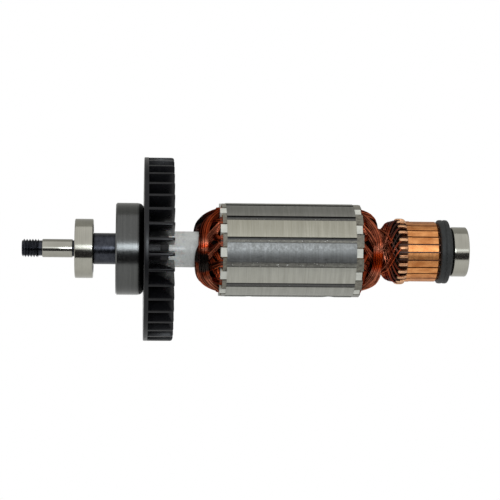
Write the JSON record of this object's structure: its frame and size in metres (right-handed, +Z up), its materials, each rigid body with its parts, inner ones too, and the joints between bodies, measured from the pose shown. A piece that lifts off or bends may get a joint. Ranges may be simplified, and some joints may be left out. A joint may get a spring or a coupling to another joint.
{
  "type": "motor armature",
  "caption": "Wound motor armature on a shaft with ball bearings, flywheel drum, radial cooling fan, slotted laminated core, copper windings and a hook commutator.",
  "frame": {"origin": "centre of the front bearing, on the shaft's axis", "axes": "+X along the shaft towards the commutator, +Z up, -Y towards the viewer of the picture"},
  "size_m": [0.1961, 0.0806, 0.0806],
  "materials": {
    "ground_steel": "ground bright seats, black oxide on the thread, relief and collar",
    "bearing_steel": "fine ground",
    "bearing_balls": "polished",
    "bearing_cage": "moulded",
    "bearing_seal": "matt",
    "drum_steel": "turned, dark satin",
    "fan_plastic": "moulded, satin black",
    "insulator_plastic": "moulded, off-white",
    "core_steel": "ground over the sheet edges",
    "liner_paper": "varnished paper",
    "wedge_fibre": "varnished fibre",
    "winding_wire": "enamelled and varnished copper wire",
    "commutator_copper": "turned copper",
    "commutator_moulding": "moulded resin",
    "dust_ring_rubber": "matt"
  },
  "bodies": {
    "front_outer_ring": {"front_bearing_outer_ring": "bearing_steel", "front_bearing_front_seal": "bearing_seal", "front_bearing_rear_seal": "bearing_seal"},
    "front_cage": {"front_bearing_cage": "bearing_cage", "front_bearing_balls": "bearing_balls"},
    "rotor": {"shaft": "ground_steel", "flywheel_drum": "drum_steel", "cooling_fan": "fan_plastic", "spacer_sleeve": "insulator_plastic", "front_end_insulator": "insulator_plastic", "stack_insulating_tube": "insulator_plastic", "rear_end_insulator": "insulator_plastic", "lamination_stack": "core_steel", "slot_liners": "liner_paper", "slot_wedges": "wedge_fibre", "slot_conductors": "winding_wire", "front_winding_head": "winding_wire", "rear_winding_head": "winding_wire", "commutator_leads": "winding_wire", "commutator_bars": "commutator_copper", "commutator_core": "commutator_moulding", "dust_ring": "dust_ring_rubber", "front_bearing_inner_ring": "bearing_steel", "rear_bearing_inner_ring": "bearing_steel"},
    "rear_outer_ring": {"rear_bearing_outer_ring": "bearing_steel", "rear_bearing_front_seal": "bearing_seal", "rear_bearing_rear_seal": "bearing_seal"},
    "rear_cage": {"rear_bearing_cage": "bearing_cage", "rear_bearing_balls": "bearing_balls"}
  },
  "joints": [
    {"name": "rotor_spin", "type": "hinge", "parent": "front_outer_ring", "child": "rotor", "pos_m": [0, 0, 0], "axis": [1, 0, 0], "continuous": true},
    {"name": "front_cage_spin", "type": "hinge", "parent": "front_outer_ring", "child": "front_cage", "pos_m": [0, 0, 0], "axis": [1, 0, 0], "continuous": true},
    {"name": "rear_ring_spin", "type": "hinge", "parent": "rotor", "child": "rear_outer_ring", "pos_m": [0.1655, 0, 0], "axis": [1, 0, 0], "continuous": true},
    {"name": "rear_cage_spin", "type": "hinge", "parent": "rotor", "child": "rear_cage", "pos_m": [0.1655, 0, 0], "axis": [1, 0, 0], "continuous": true}
  ],
  "couplings": [
    {"joint": "front_cage_spin", "follows": "rotor_spin", "ratio": 0.364},
    {"joint": "rear_cage_spin", "follows": "rear_ring_spin", "ratio": 0.6323}
  ]
}
